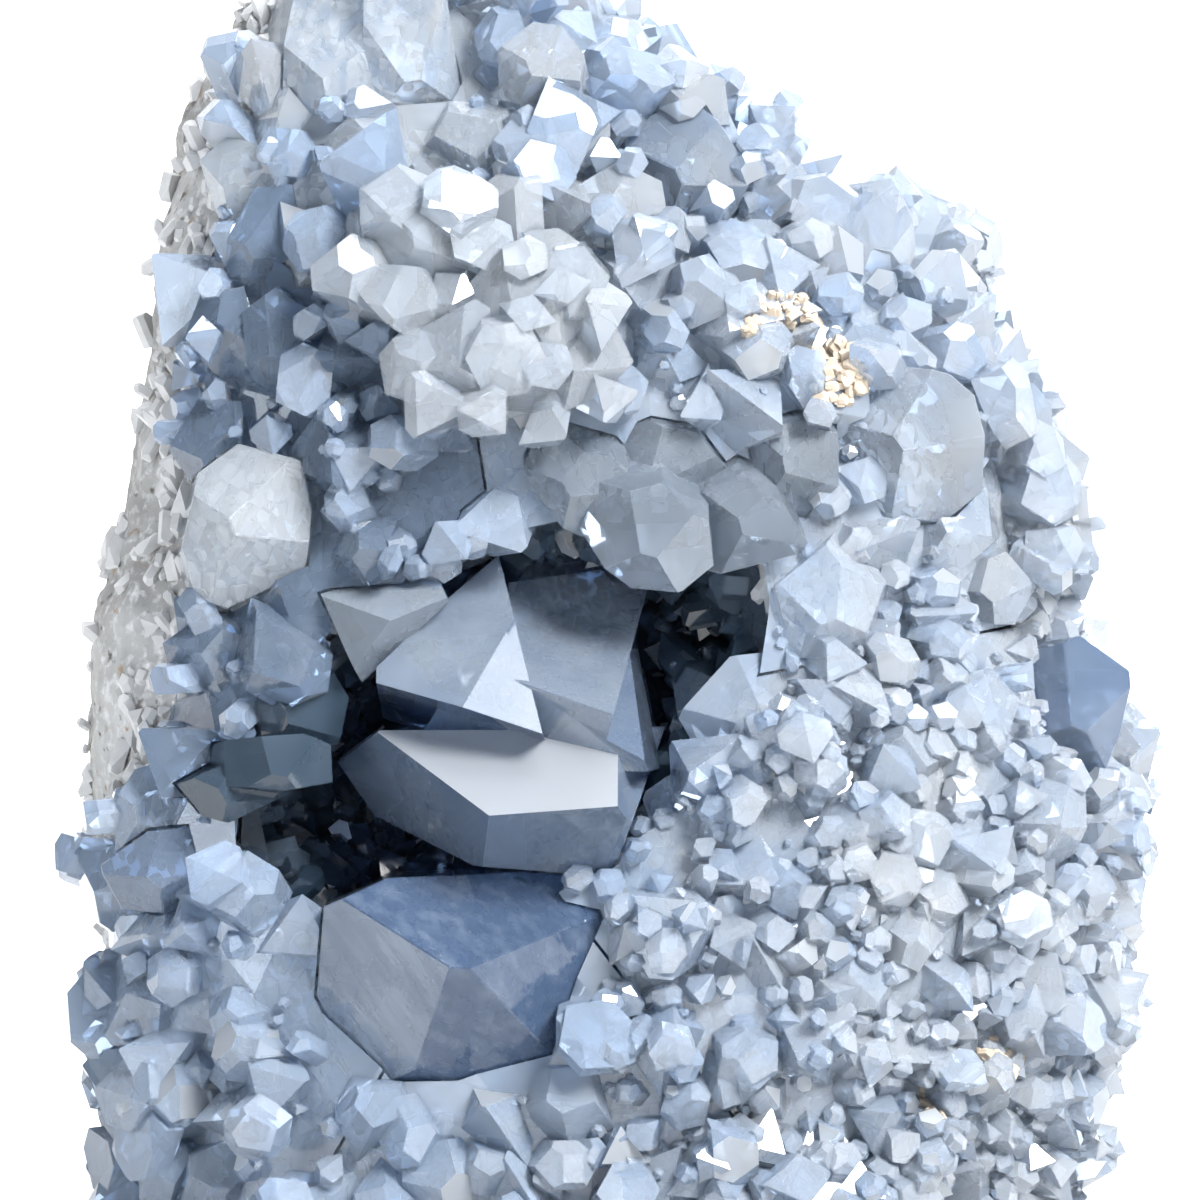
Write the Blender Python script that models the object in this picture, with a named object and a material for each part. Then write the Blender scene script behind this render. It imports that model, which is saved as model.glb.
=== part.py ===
"""A free-standing piece of celestite geode: a rock shell on a flat cut foot, with a hollow in its
front and pale blue crystals lining the hollow and covering the face around it.

Metres, +Z up. The crystal face looks towards -Y, and +X is to the right of someone facing it.
The origin is the middle of the footprint's box, on the plane that the foot rests on.
Lengths in the tables below are millimetres, measured before that centring.
"""

import math
import random

import bmesh
import bpy
import numpy as np
from mathutils import Matrix, Vector, noise

MM = 0.001
GAP = 0.3  # between touching solids
ROCK_CLEARANCE = 0.45  # a little more, because a bent surface is offset point by point
BELOW = -4.0  # how far the shapes that are cut flat at the foot first reach below it
MERGE = 0.000002
FLAT = math.radians(0.6)  # faces this close to one plane are one face
SEED = 7

# The rock's reach at each height: height, left, right, front, back
LEVELS = (
    (0, -43.0, 36.5, -25.0, 33.0),
    (12, -44.5, 43.0, -27.0, 35.5),
    (25, -47.5, 46.0, -27.0, 37.0),
    (33, -50.0, 46.5, -26.0, 37.5),
    (42, -51.8, 46.0, -25.0, 37.0),
    (54, -51.5, 43.0, -22.0, 36.0),
    (62, -50.8, 37.5, -21.5, 35.0),
    (70, -48.3, 40.0, -21.0, 34.0),
    (80, -46.0, 37.5, -21.5, 32.0),
    (92, -44.8, 27.5, -20.0, 29.0),
    (104, -44.2, 17.5, -16.0, 25.0),
    (113, -41.0, 3.0, -12.0, 21.0),
    (122, -36.0, -7.0, -8.0, 17.0),
    (129, -32.5, -12.5, -4.0, 13.0),
    (134, -28.0, -17.0, 0.0, 9.0),
)
CREST = (-22.0, 4.5, 136.0)
SPINE = 4.0  # the depth at which the front and back halves meet
SQUARENESS = 2.5  # the exponent of the cross-section; 2 would be an ellipse
FRONT_LUMPS = 1.2
BACK_LUMPS = 3.2
LUMP_SIZE = 21.0
ROCK_SIDES = 20
ROCK_RINGS = 12

# The crystal layer: thickness on the face, and where bare rock shows along the left edge
LAYER = 5.5
SUNK = -0.8  # the layer's surface dips this far into the rock where there is no layer
RIND_EDGE = (
    (0, -45.5), (12, -47.0), (25, -49.5), (33, -50.0), (42, -45.5), (52, -41.5), (68, -40.0), (85, -40.0),
    (104, -37.5), (122, -33.0), (136, -30.0),
)
RIND_FADE = 6.0
LAYER_END = math.radians(12)  # past the right edge, round the side
LAYER_FADE = math.radians(14)
LAYER_WAVE = math.radians(22)  # how much that end wanders with height

# The hollow: centre, half sizes, tilt
HOLLOW_AT = (-9.5, -19.0, 50.5)
HOLLOW_REACH = (31.0, 31.0, 18.5)
HOLLOW_TILT = math.radians(-31)
CRUST = 2.6
CRUST_MOUTH = -19.5  # the crust stops this deep, behind the rim
CRUST_CRYSTALS = 14
RIM_CRYSTALS = 22
RIM_DEPTH = 5.0  # the rim stands this far before the hollow's middle

# Masses of the druse: name, and the point of the face that each grows around
MASSES = (
    ("crown_druse", (-14.0, 114.0)),
    ("shoulder_druse", (20.0, 84.0)),
    ("left_druse", (-44.0, 74.0)),
    ("lower_left_druse", (-42.0, 20.0)),
    ("right_druse", (30.0, 30.0)),
    ("foot_druse", (-8.0, 0.0)),
)
DARK = ("cavity_crust", "cave_crystal", "ledge_crystals")
DRUSE_TRIES = 9000
DRUSE_ROOT = 2.2
DRUSE_FLANK = math.radians(-12)  # past this the crystals stand farther apart
FLANK_SPREAD = 1.5
DRUSE_SPACING = ((0, 9.2), (20, 8.1), (60, 8.2), (75, 8.9), (100, 9.0), (136, 8.5))  # by height


def interpolate(table, height, column):
    return float(np.interp(height, [row[0] for row in table], [row[column] for row in table]))


def rock_point(angle, height, grow=0.0):
    """A point of the rock's surface. Angle 0 is the right edge, -90 degrees the front."""
    left, right, front, back = (interpolate(LEVELS, height, column) for column in (1, 2, 3, 4))
    c, s = math.cos(angle), math.sin(angle)
    reach = (abs(c) ** SQUARENESS + abs(s) ** SQUARENESS) ** (-1 / SQUARENESS)
    depth = back - SPINE if s > 0 else SPINE - front
    x = (left + right) / 2 + ((right - left) / 2 + grow) * c * reach
    y = SPINE + (depth + grow) * s * reach
    lump = noise.fractal(Vector((x, y, height)) / LUMP_SIZE, 1.0, 2.0, 2)
    lump *= FRONT_LUMPS + (BACK_LUMPS - FRONT_LUMPS) * max(0.0, s) ** 0.5
    return Vector((x + lump * c * reach * 0.6, y + lump * s * reach, height))


def layer_thickness(angle, height):
    point = rock_point(angle, height)
    angle = (angle + math.pi) % (2 * math.pi) - math.pi
    if angle > 0:
        end = LAYER_END + LAYER_WAVE * noise.noise(Vector((0.5, 0.5, height / 14)))
        share = (end + LAYER_FADE - angle) / LAYER_FADE
    else:
        share = (point.x - interpolate(RIND_EDGE, height, 1)) / RIND_FADE
    return SUNK + (LAYER - SUNK) * max(0.0, min(1.0, share))


def layer_point(angle, height, grow=0.0):
    return rock_point(angle, height, layer_thickness(angle, height) + grow)


def outward(angle, height):
    """The direction away from the layer's surface."""
    step = 0.04
    across = layer_point(angle + step, height) - layer_point(angle - step, height)
    up = layer_point(angle, min(height + 2, 135)) - layer_point(angle, height - 2)
    return across.cross(up).normalized()


def solid(name, points, faces):
    mesh = bpy.data.meshes.new(name)
    mesh.from_pydata([tuple(Vector(p) * MM) for p in points], [], faces)
    mesh.update()
    made = bpy.data.objects.new(name, mesh)
    bpy.context.scene.collection.objects.link(made)
    return made


def shell(name, surface, grow=0.0, foot=0.0):
    """The closed solid inside a surface(angle, height, grow), from the foot to the crest."""
    heights = [LEVELS[-1][0] * (k / (ROCK_RINGS - 1)) for k in range(ROCK_RINGS)]
    heights[0] = foot
    points, faces = [], []
    for ring, height in enumerate(heights):
        turn = 0.5 * (ring % 2)
        points += [surface(2 * math.pi * (k + turn) / ROCK_SIDES, height, grow) for k in range(ROCK_SIDES)]
    for ring in range(ROCK_RINGS - 1):
        low, high = ring * ROCK_SIDES, (ring + 1) * ROCK_SIDES
        for k in range(ROCK_SIDES):
            after = (k + 1) % ROCK_SIDES
            if ring % 2:
                faces += [(low + k, low + after, high + after), (low + k, high + after, high + k)]
            else:
                faces += [(low + k, low + after, high + k), (low + after, high + after, high + k)]
    top = (ROCK_RINGS - 1) * ROCK_SIDES
    points.append(Vector(CREST) + Vector((0, 0, grow)))
    faces += [(top + k, top + (k + 1) % ROCK_SIDES, len(points) - 1) for k in range(ROCK_SIDES)]
    faces.append(tuple(reversed(range(ROCK_SIDES))))
    return solid(name, points, faces)


class Crystal:
    """A convex body given by planes, each (unit normal, distance from the origin)."""

    def __init__(self, planes):
        self.planes = planes
        self.corners, self.faces = self.shape()
        self.low = np.min(self.corners, axis=0)
        self.high = np.max(self.corners, axis=0)

    def shape(self):
        normals = np.array([tuple(n) for n, _ in self.planes])
        reaches = np.array([d for _, d in self.planes])
        corners = []
        for i in range(len(normals)):
            for j in range(i + 1, len(normals)):
                for k in range(j + 1, len(normals)):
                    three = normals[[i, j, k]]
                    if abs(np.linalg.det(three)) < 1e-4:
                        continue
                    point = np.linalg.solve(three, reaches[[i, j, k]])
                    if (normals @ point <= reaches + 1e-5).all():
                        if not any(np.abs(point - other).max() < 1e-3 for other in corners):
                            corners.append(point)
        faces = []
        for normal, reach in zip(normals, reaches):
            on = [k for k, point in enumerate(corners) if abs(normal @ point - reach) < 2e-3]
            if len(on) < 3:
                continue
            middle = sum(corners[k] for k in on) / len(on)
            side = corners[on[0]] - middle
            other = np.cross(normal, side)
            on.sort(key=lambda k: math.atan2((corners[k] - middle) @ other, (corners[k] - middle) @ side))
            faces.append(tuple(on))
        return corners, faces

    def grown(self, by=GAP):
        return Crystal([(normal, reach + by) for normal, reach in self.planes])

    def made(self, name="crystal"):
        return solid(name, self.corners, self.faces)


# The faces of a celestite crystal that grows along +Z
PINACOID = ((1, 0, 0), (-1, 0, 0))
PRISM = ((0.615, 0.789, 0), (-0.615, 0.789, 0), (0.615, -0.789, 0), (-0.615, -0.789, 0))
DOME = ((0.773, 0, 0.635), (-0.773, 0, 0.635))
WEDGE = ((0, 0.6155, 0.788), (0, -0.6155, 0.788))


def habit(at, toward, roll, width, length, dice, root=0.6):
    """A crystal growing from a point toward a direction, its angles fixed and its faces uneven."""
    turn = Vector(toward).normalized().to_track_quat("Z", "Y").to_matrix() @ Matrix.Rotation(roll, 3, "Z")
    planes = [(n, width * 0.4 * dice.uniform(0.85, 1.15)) for n in PRISM]
    planes += [(n, length * dice.uniform(0.64, 0.84)) for n in DOME]
    if dice.random() < 0.4:
        planes += [(n, length * dice.uniform(0.76, 0.9)) for n in WEDGE]
    if dice.random() < 0.2:
        planes += [(n, width * dice.uniform(0.42, 0.5)) for n in PINACOID]
    planes.append(((0, 0, -1), root))
    turned = [(turn @ Vector(n).normalized(), reach) for n, reach in planes]
    return Crystal([(n, reach + n.dot(Vector(at))) for n, reach in turned])


def plane_through(a, b, c, inside):
    """The plane through three points, facing away from a fourth."""
    a, b, c = Vector(a), Vector(b), Vector(c)
    normal = (b - a).cross(c - a).normalized()
    if normal.dot(Vector(inside) - a) > 0:
        normal = -normal
    return normal, normal.dot(a)


def leaning(point, across, up):
    """A plane through a point that runs back by these amounts for each millimetre across and up."""
    normal = Vector((across, -1.0, up)).normalized()
    return normal, normal.dot(Vector(point))


def faceted(heart, corners, facets, sides, root, axis=(0.0, 1.0, 0.0)):
    """A crystal from named corners: facets through three of them, or through one with two slopes, and
    sides through two that run back along the axis as far as the root."""
    planes = []
    for facet in facets:
        if isinstance(facet[1], str):
            planes.append(plane_through(*(corners[name] for name in facet), heart))
        else:
            planes.append(leaning(corners[facet[0]], *facet[1:]))
    for one, two in sides:
        behind = Vector(corners[one]) + Vector(axis) * 10
        planes.append(plane_through(corners[one], corners[two], behind, heart))
    planes.append((Vector((0, 1, 0)), root))
    return Crystal(planes)


# End faces of a gem: turn in degrees, slope, and how far each crosses before the outline's plane
GEM_ENDS = ((0, 0.28, 2.0), (95, 0.75, 3.2), (180, 1.0, 3.6), (262, 0.85, 3.0))


def gem(front, lean, roll, outline, root=15.0):
    """A crystal from the outline of its sides, read across the face at the depth called front.
    It leans across and up for each millimetre forward, and its end faces are turned by roll."""
    axis = Vector((lean[0], -1.0, lean[1])).normalized()
    points = [Vector((x, front, z)) for x, z in outline]
    middle = sum(points, Vector()) / len(points)
    planes = []
    for k, point in enumerate(points):
        along = points[(k + 1) % len(points)] - point
        normal = along.cross(axis).normalized()
        if normal.dot(middle - point) > 0:
            normal = -normal
        planes.append((normal, normal.dot(point)))
    for turn, slope, rise in GEM_ENDS:
        turn = math.radians(roll + turn)
        planes.append(leaning(middle - Vector((0, rise, 0)), slope * math.cos(turn), slope * math.sin(turn)))
    planes.append((-axis, (-axis).dot(middle - axis * root)))
    return Crystal(planes)


# The large lower crystal: corners as (across, depth, height), and its front faces as the corner that
# each goes through, with how far back it runs for each millimetre across and up
LOWER = {
    "nose": (-14.3, -40.0, 27.4), "inner": (-10.4, -37.6, 25.0), "front_low": (-17.7, -33.0, 17.4),
    "left_top": (-24.6, -32.0, 33.7), "left_mid": (-27.4, -27, 24.2), "left_low": (-22.6, -29, 14.7),
    "top_left": (-20.5, -31, 35.7), "top_right": (-4.5, -28, 36.3), "right_top": (-1.2, -24, 35.1),
    "right_mid": (2.3, -26, 25.7), "right_low": (1.1, -28, 14.0), "bottom_right": (-3.0, -26, 9.4),
    "bottom_left": (-20.1, -27, 10.9), "left_shoulder": (-26.6, -29, 33.0),
}
LOWER_FACETS = (
    ("nose", -0.70, -0.46), ("nose", 0.15, -0.75), ("nose", 0.24, 1.08), ("inner", 0.74, -0.21),
    ("front_low", -0.08, -1.62),
)
LOWER_SIDES = (
    ("left_mid", "left_low"), ("left_mid", "left_shoulder"), ("left_shoulder", "top_left"),
    ("top_left", "top_right"), ("top_right", "right_top"), ("right_top", "right_mid"),
    ("right_mid", "right_low"), ("right_low", "bottom_right"), ("bottom_right", "bottom_left"),
    ("left_low", "bottom_left"),
)
LOWER_HEART = (-12.0, -24.0, 23.0)
LOWER_ROOT = -8.0

# The centre group: four crystals grown together
STEP = {
    "ledge_left": (-8.5, -33, 54.9), "ledge_right": (1.3, -36, 51.5), "step_left": (-8.5, -31, 55.0),
    "step_mid": (-3.1, -27.5, 55.7), "step_right": (2.7, -27, 56.5), "crown_left": (-9.0, -16, 64.2),
    "crown_mid": (-6.7, -16.8, 65.3), "crown_right": (0.1, -17, 65.5), "shoulder": (1.9, -17, 63.4),
    "right_far": (3.7, -12, 57.9), "under": (-5.6, -31.5, 49.5), "heel_left": (-9.0, -25, 46.0),
    "heel_right": (3.0, -25, 46.0), "right_mid": (4.6, -14, 53.0), "flank_low": (-17.0, -31, 50.0),
    "flank_high": (-12.0, -31, 58.0),
}
STEP_FACETS = (
    ("step_mid", "step_right", "crown_right"), ("step_left", "step_mid", "crown_mid"),
    ("step_right", "shoulder", "right_far"), ("ledge_left", "ledge_right", "under"),
)
LEDGE_FACETS = (("ledge_left", "ledge_right", "step_right"), ("ledge_left", "ledge_right", "under"))
LEDGE_SIDES = (("flank_low", "flank_high"), ("ledge_right", "step_right"), ("heel_left", "heel_right"))
STEP_SIDES = (
    ("crown_left", "crown_right"), ("step_left", "crown_left"), ("crown_right", "shoulder"),
    ("heel_left", "heel_right"), ("right_far", "right_mid"),
)
PROW = {
    "brow_left": (-10.6, -40, 41.9), "brow_right": (1.7, -40, 42.8), "slope_top": (0.4, -31, 50.0),
    "slope_left": (-15.8, -36, 46.5), "chin": (-4.3, -31, 36.2), "chin_left": (-12.3, -27, 36.9),
    "cheek_left": (-25.7, -18, 46.6), "jaw_left": (-22.1, -21, 41.4), "back_left": (-21.3, -20, 49.9),
    "right_far": (5.1, -22, 46.5), "right_low": (2.2, -33, 38.8), "slope_side": (1.8, -31, 50.0),
    "nick_top": (1.7, -39, 41.4), "nick_left": (0.4, -34, 37.9),
}
PROW_FACETS = (
    ("brow_left", "brow_right", "slope_top"), ("brow_left", "brow_right", "chin"),
    ("brow_left", "slope_left", "cheek_left"), ("nick_top", "nick_left", "right_low"),
    ("brow_right", "slope_side", "right_far"),
)
PROW_SIDES = (
    ("chin", "chin_left"), ("chin_left", "jaw_left"), ("jaw_left", "cheek_left"), ("cheek_left", "back_left"),
    ("back_left", "slope_top"), ("right_far", "right_low"),
)
BLADE = {
    "left_low": (-21.6, -32, 54.5), "keel": (-13.2, -36, 52.2), "fin": (-8.4, -31, 57.5),
    "fin_top": (-8.5, -28, 61.4), "peak": (-9.9, -22, 66.9), "ridge_top": (-14.6, -26, 62.8),
    "left_up": (-21.6, -31, 56.0), "below": (-17.5, -20, 51.5),
}
BLADE_FACETS = (("left_low", "keel", "peak"), ("keel", "fin", "fin_top"), ("left_low", "keel", "below"))
BLADE_SIDES = (("left_low", "left_up"), ("left_up", "ridge_top"), ("ridge_top", "peak"), ("peak", "fin_top"))
WING = {
    "west": (-27.4, -26, 63.0), "nose": (-20.2, -33, 60.5), "north": (-16.6, -22, 66.4),
    "south_west": (-24.6, -29, 57.5), "tail": (-23.2, -27, 54.4), "east": (-14.6, -29, 62.4),
}
WING_FACETS = (("west", "nose", "north"), ("west", "nose", "south_west"), ("nose", "east", "tail"))
WING_SIDES = (
    ("west", "south_west"), ("south_west", "tail"), ("west", "north"), ("north", "east"), ("east", "tail"),
)


def centre_crystals():
    return [
        faceted((-2.0, -15.0, 57.0), STEP, STEP_FACETS, STEP_SIDES, 13.0),
        faceted((-3.0, -20.0, 50.0), STEP, LEDGE_FACETS, LEDGE_SIDES, -5.0),
        faceted((-8.0, -22.0, 44.0), PROW, PROW_FACETS, PROW_SIDES, 13.0),
        faceted((-13.0, -22.0, 57.0), BLADE, BLADE_FACETS, BLADE_SIDES, -4.0),
        faceted((-20.0, -22.0, 60.0), WING, WING_FACETS, WING_SIDES, -4.0),
    ]


# The other large crystals, by node: front depth, lean, roll in degrees, outline as (across, height)
LARGE = {
    "window_crystal": (
        (-26, (0.1, 0.1), 20,
         ((-39, 75), (-35, 78), (-29, 76), (-28, 71), (-28.5, 65.5), (-36, 62), (-39, 63), (-40.5, 68))),
    ),
    "ledge_crystals": (
        (-30, (0.3, 0.1), 80, ((-36, 49), (-29, 49.5), (-26, 48.5), (-25.5, 45), (-30.5, 44), (-36, 44.5))),
        (-27, (0.1, -0.1), 30, ((-41, 44.5), (-36, 47), (-30.5, 46), (-30, 44), (-36, 41), (-38.5, 41.5))),
        (-26, (0.2, 0.0), 10,
         ((-36.5, 49.5), (-32, 54), (-26, 55.5), (-24.5, 53), (-25.5, 48.5), (-30, 47.5))),
    ),
    "left_blue_crystal": (
        (-23, (-0.2, -0.1), 50, ((-49, 36.5), (-44, 40), (-36, 41), (-36.5, 33.5), (-42, 32), (-47, 32))),
    ),
    "cave_crystal": (
        (-9, (0.1, 0.3), 60,
         ((-36.5, 33), (-31.5, 40.5), (-29.5, 40), (-24, 35.5), (-25.5, 27), (-35.5, 27))),
    ),
    "brow_cluster": (
        (-31, (-0.1, 0.3), 10,
         ((-23, 99), (-18.5, 100.5), (-13, 100.5), (-10, 97.5), (-14, 93), (-22, 93))),
        (-32, (-0.4, 0.1), 40,
         ((-24, 93), (-22.5, 95), (-17, 94.5), (-13, 88.5), (-15, 84), (-20, 89), (-23.5, 91.5))),
        (-34, (0.0, 0.2), 75,
         ((-13.5, 92.5), (-8.5, 97), (-4.5, 96), (-0.5, 90.5), (-1, 85.5), (-8, 85), (-13, 88))),
        (-34, (-0.1, -0.1), 60,
         ((-17.5, 88.5), (-12, 91.5), (-6, 88), (-5.5, 84), (-11, 81), (-15, 81.5), (-17.5, 84))),
        (-31, (0.3, 0.0), 30, ((-6.5, 84), (-4, 92.5), (1, 89.5), (3, 85.5), (0, 82), (-4, 80.5))),
        (-30, (0.1, -0.3), 20,
         ((-17.5, 82), (-14.5, 85), (-6, 85.5), (2, 84), (1, 79), (-5, 79), (-9, 80.5), (-16, 79))),
        (-29, (0.1, 0.2), 0, ((-8.5, 98), (-4, 98.5), (0, 95), (0.5, 90.5), (-4, 90), (-8.5, 94))),
    ),
    "roof_cluster": (
        (-28, (-0.2, -0.6), 30,
         ((-7.5, 75.5), (-5.5, 79), (1, 77), (4, 74), (2, 69.5), (-2, 68), (-6.5, 72.5))),
        (-31, (0.0, -0.6), 75, ((-2, 68), (0, 73), (6, 74), (10.5, 70), (11, 64.5), (8, 63), (3, 63))),
        (-28, (0.2, -0.6), 15, ((8.5, 72), (14, 74.5), (17.5, 72.5), (20, 68.5), (19, 67), (10, 64))),
        (-26, (0.1, -0.4), 50, ((0, 78), (5, 80), (9.5, 79), (12.5, 75), (9.5, 70), (3, 71))),
        (-25, (0.2, -0.4), 10, ((15, 79), (19.5, 80), (23, 79), (23, 74), (20, 70), (14, 72))),
    ),
    "shoulder_crystal": (
        (-24, (0.3, 0.1), 35,
         ((23, 78.5), (26, 84.5), (29.5, 85.5), (34, 84.5), (36.5, 82.5), (38.5, 73.5), (35, 70.5),
          (26, 71), (23, 74))),
    ),
    "corner_crystal": (
        (-13, (0.6, 0.1), 70,
         ((43.5, 57.5), (47.5, 59), (52, 55.5), (51.5, 49.5), (50, 44.5), (47, 42), (43, 48.5))),
    ),
    "column_crystals": (
        (-17, (-0.1, 0.6), 10,
         ((-30.5, 127), (-24.5, 130), (-20, 124), (-19.5, 107), (-23.5, 99.5), (-26.5, 99.5),
          (-30, 103), (-31.5, 112))),
        (-18, (0.1, 0.6), 100,
         ((-23, 129), (-18.5, 128.5), (-15, 121.5), (-13, 109.5), (-15.5, 105.5), (-19.5, 100.5),
          (-23.5, 107))),
    ),
    "crest_crystal": (
        (-20, (0.2, 0.4), 25,
         ((2.5, 108), (5.5, 111), (9.5, 112), (13.5, 106), (14.5, 103), (13.5, 101), (10.5, 98),
          (7, 97), (4, 101))),
    ),
}
ROOTS = {"cave_crystal": 26.0}
ROOTED = ("centre_crystals", "lower_crystal", "cave_crystal", "ledge_crystals")  # the others stand on the rock

# Crystals of the druse that are placed by hand, in the same form
DRUSE_GEMS = (
    (-21, (-0.1, 0.4), 20,
     ((-10, 116), (-6.5, 119), (-3.5, 118), (-1.5, 115.5), (-2, 111.5), (-6.5, 110), (-10, 112))),
    (-22, (0.0, 0.4), 60, ((-5, 108), (-3, 110), (1, 109.5), (1, 105.5), (-1.5, 104), (-4.5, 105))),
    (-24, (0.0, 0.3), 35, ((-3, 102.5), (1.5, 105), (6, 103), (6.5, 100), (4, 95.5), (-1.5, 97.5))),
    (-18, (0.2, 0.5), 10, ((5.5, 111), (7.5, 114), (12, 113), (12.5, 108.5), (8, 107.5))),
    (-12, (0.4, 0.3), 80, ((25.5, 103), (29, 103.5), (31, 97), (30, 94), (26, 93))),
    (-10, (0.5, 0.2), 20, ((30, 94.5), (32.5, 97), (35, 96.5), (36, 90.5), (32, 89))),
    (-8, (0.6, 0.1), 45, ((34, 90.5), (37, 90), (38.5, 86), (36.5, 83.5), (34, 85.5))),
    (-20, (-0.3, 0.2), 30, ((-37, 95), (-34, 103), (-30, 103), (-29, 98.5), (-32, 90.5), (-36, 91.5))),
    (-20, (0.0, 0.1), 0, ((-31.5, 99), (-27, 101), (-22, 97), (-22.5, 91.5), (-28.5, 88), (-32.5, 91.5))),
    (-23, (-0.2, -0.1), 70, ((-35, 90.5), (-31.5, 93), (-26.5, 89.5), (-27, 84), (-30.5, 81.5), (-34, 84))),
    (-24, (0.0, -0.4), 40,
     ((-31, 81), (-26.5, 84.5), (-16.5, 84), (-9.5, 79), (-11, 75), (-15.5, 72), (-22.5, 73), (-30, 77))),
    (-23, (0.2, 0.2), 15, ((19.5, 82), (22.5, 86), (26, 86), (26, 80), (23, 78), (20, 79))),
    (-12, (0.6, 0.2), 20, ((37.5, 82.5), (41, 85), (44, 81.5), (44, 76), (40.5, 74), (37.5, 78))),
    (-8, (0.8, 0.0), 65, ((41, 77.5), (44, 80), (48, 76.5), (47.5, 71.5), (43, 70), (40.5, 72))),
    (-11, (0.7, -0.2), 30, ((38, 68.5), (43, 72.5), (48, 73.5), (48, 66.5), (46, 64), (41, 63))),
    (-14, (0.4, -0.2), 50, ((35, 66), (39.5, 67.5), (42.5, 64), (41, 60), (36.5, 60.5))),
    (-21, (-0.3, 0.1), 10,
     ((-47.5, 41.5), (-45.5, 46), (-42.5, 47), (-39, 41), (-41.5, 36.5), (-47.5, 37.5))),
    (-8, (0.8, -0.2), 15, ((41.5, 22.5), (47.5, 23.5), (51.5, 23), (53.5, 19.5), (47.5, 14.5), (43, 15))),
    (-18, (0.4, 0.1), 55, ((35.5, 18), (40, 23.5), (44, 21), (44.5, 17), (41.5, 12.5), (37, 13.5))),
    (-26, (-0.6, 0.0), 140, ((7.5, 51), (13, 57), (18.5, 58), (21, 52.5), (17.5, 46.5), (9.5, 45.5))),
    (-26, (-0.6, -0.1), 90, ((3.5, 43.5), (9, 46.5), (14, 45), (14, 38), (6.5, 37.5))),
    (-27, (-0.5, 0.3), 170, ((2.5, 33.5), (5.5, 37.5), (10, 36), (10, 29), (5, 27.5))),
    (-26, (-0.3, -0.4), 110, ((17, 64), (22, 68), (27, 63), (25, 56), (18.5, 57))),
)


def combine(body, operation, tools):
    """Joins tools to a body or cuts with them, and removes them."""
    if not tools:
        return
    holder = bpy.data.collections.new("tools")
    for tool in tools:
        holder.objects.link(tool)
    modifier = body.modifiers.new("combine", "BOOLEAN")
    modifier.operation = operation
    modifier.operand_type = "COLLECTION"
    modifier.collection = holder
    modifier.solver = "EXACT"
    result = bpy.data.meshes.new_from_object(body.evaluated_get(bpy.context.evaluated_depsgraph_get()))
    body.modifiers.clear()
    body.data = result
    for tool in tools:
        bpy.data.objects.remove(tool)
    bpy.data.collections.remove(holder)


def volume_inside(faces):
    total = 0.0
    for face in faces:
        first, *rest = [vertex.co for vertex in face.verts]
        total += sum(first.dot(a.cross(b)) for a, b in zip(rest, rest[1:])) / 6
    return total


def islands_of(mesh):
    """The mesh's faces, grouped by connected body."""
    left = set(mesh.faces)
    islands = []
    while left:
        reached = [left.pop()]
        island = list(reached)
        while reached:
            for edge in reached.pop().edges:
                for face in edge.link_faces:
                    if face in left:
                        left.remove(face)
                        island.append(face)
                        reached.append(face)
        islands.append(island)
    return islands


def keep_largest(body):
    """Welds stray corners and leaves one connected body."""
    mesh = bmesh.new()
    mesh.from_mesh(body.data)
    bmesh.ops.remove_doubles(mesh, verts=mesh.verts, dist=MERGE)
    bmesh.ops.dissolve_degenerate(mesh, edges=mesh.edges, dist=MERGE)
    bmesh.ops.dissolve_limit(mesh, angle_limit=FLAT, verts=mesh.verts, edges=mesh.edges)
    islands = sorted(islands_of(mesh), key=volume_inside, reverse=True)
    for island in islands[1:]:
        bmesh.ops.delete(mesh, geom=island, context="FACES")
    mesh.to_mesh(body.data)
    mesh.free()


def joined(name, crystals):
    body = crystals[0].made(name)
    combine(body, "UNION", [crystal.made() for crystal in crystals[1:]])
    return body


def sockets(crystals, body, by=GAP):
    """Grown copies of the crystals that come close to a body."""
    corners = np.array([vertex.co for vertex in body.data.vertices]) / MM
    low, high = corners.min(axis=0) - 1, corners.max(axis=0) + 1
    near = [crystal for crystal in crystals if (crystal.low < high).all() and (crystal.high > low).all()]
    return [crystal.grown(by).made() for crystal in near]


def box(name, low, high):
    return Crystal(box_planes(low, high)).made(name)


def box_planes(low, high):
    planes = []
    for k in range(3):
        axis = Vector([float(k == j) for j in range(3)])
        planes += [(axis, high[k]), (-axis, -low[k])]
    return planes


def hollow(name, by):
    """The hollow's shape, larger or smaller by a distance."""
    mesh = bmesh.new()
    bmesh.ops.create_icosphere(mesh, subdivisions=2, radius=1.0)
    tilt = Matrix.Rotation(HOLLOW_TILT, 3, "Y")
    points = []
    for vertex in mesh.verts:
        lump = 1 + 0.07 * noise.noise(vertex.co * 2.2)
        reach = Vector([vertex.co[k] * (HOLLOW_REACH[k] * lump + by) for k in range(3)])
        points.append(Vector(HOLLOW_AT) + tilt @ reach)
    faces = [tuple(vertex.index for vertex in face.verts) for face in mesh.faces]
    mesh.free()
    return solid(name, points, faces)


def in_hollow(point, by=0.0):
    turned = Matrix.Rotation(-HOLLOW_TILT, 3, "Y") @ (Vector(point) - Vector(HOLLOW_AT))
    return sum((turned[k] / (HOLLOW_REACH[k] + by)) ** 2 for k in range(3)) < 1


def inside(point, crystal, by=0.0):
    return all(normal.dot(point) < reach + by for normal, reach in crystal.planes)


def mass_of(x, height):
    return min(range(len(MASSES)), key=lambda k: math.hypot(MASSES[k][1][0] - x, MASSES[k][1][1] - height))


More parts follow.
